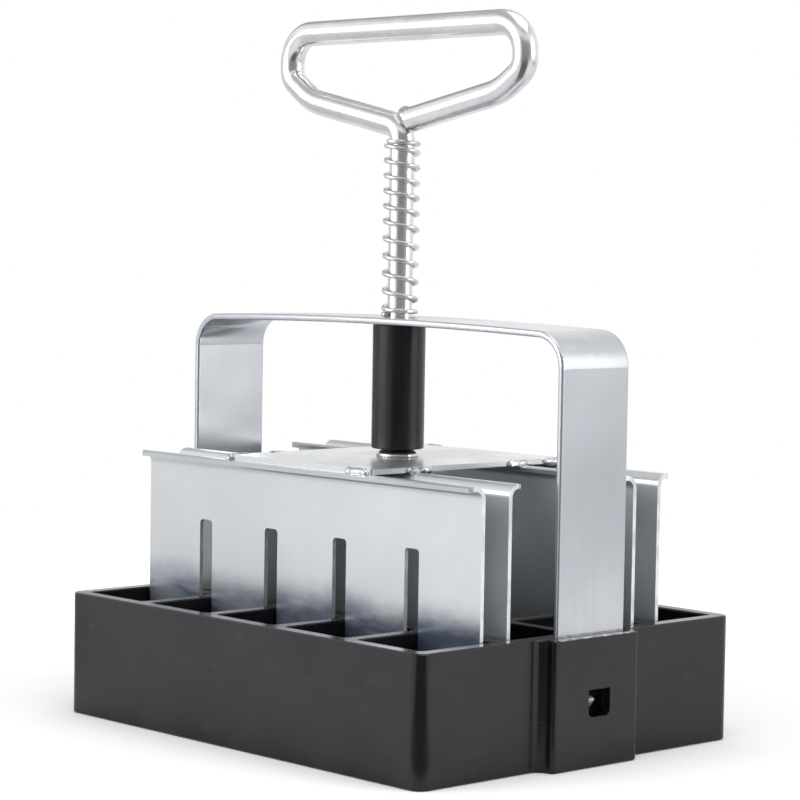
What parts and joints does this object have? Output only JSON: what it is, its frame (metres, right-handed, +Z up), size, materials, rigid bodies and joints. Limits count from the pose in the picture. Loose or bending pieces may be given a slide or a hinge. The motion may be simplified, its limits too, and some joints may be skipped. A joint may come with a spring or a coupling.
{
  "type": "soil blocker",
  "caption": "Hand soil blocker: a moulded cell grid under a strap frame, with a sprung plunger whose grip pushes toothed combs and press plates down the cells.",
  "frame": {"origin": "centre of the cell grid's underside", "axes": "+X along the grid's long side, +Y across it, +Z up along the push rod"},
  "size_m": [0.1288, 0.0974, 0.1641],
  "materials": {
    "moulded_plastic": "satin charcoal moulding",
    "zinc_strap": "zinc-plated steel strip",
    "zinc_sheet": "bright zinc-plated sheet",
    "press_sheet": "zinc-plated sheet",
    "bright_rod": "bright plated round bar",
    "spring_wire": "bright spring wire",
    "weld_metal": "lumpy weld under plating",
    "black_sleeve": "satin black tube"
  },
  "bodies": {
    "frame": {"block_grid": "moulded_plastic", "handle_strap": "zinc_strap", "return_spring": "spring_wire"},
    "plunger": {"push_rod": "bright_rod", "grip_weld": "weld_metal", "stop_sleeve": "black_sleeve", "rod_collar_weld": "weld_metal", "bridge_plate": "zinc_sheet", "bridge_weld_beads": "weld_metal", "front_outer_comb": "zinc_sheet", "front_inner_comb": "zinc_sheet", "back_inner_comb": "zinc_sheet", "back_outer_comb": "zinc_sheet", "press_plate_r1_c1": "press_sheet", "press_plate_r1_c2": "press_sheet", "press_plate_r1_c3": "press_sheet", "press_plate_r1_c4": "press_sheet", "press_plate_r1_c5": "press_sheet", "press_plate_r2_c1": "press_sheet", "press_plate_r2_c2": "press_sheet", "press_plate_r2_c3": "press_sheet", "press_plate_r2_c4": "press_sheet", "press_plate_r2_c5": "press_sheet", "press_plate_r3_c1": "press_sheet", "press_plate_r3_c2": "press_sheet", "press_plate_r3_c3": "press_sheet", "press_plate_r3_c4": "press_sheet", "press_plate_r3_c5": "press_sheet", "press_plate_r4_c1": "press_sheet", "press_plate_r4_c2": "press_sheet", "press_plate_r4_c3": "press_sheet", "press_plate_r4_c4": "press_sheet", "press_plate_r4_c5": "press_sheet"}
  },
  "joints": [
    {"name": "plunge", "type": "slide", "parent": "frame", "child": "plunger", "axis": [0, 0, -1], "range_m": [0, 0.018], "stiffness_N_per_m": 1800, "springref_m": -0.005, "deforming": ["return_spring"]}
  ]
}
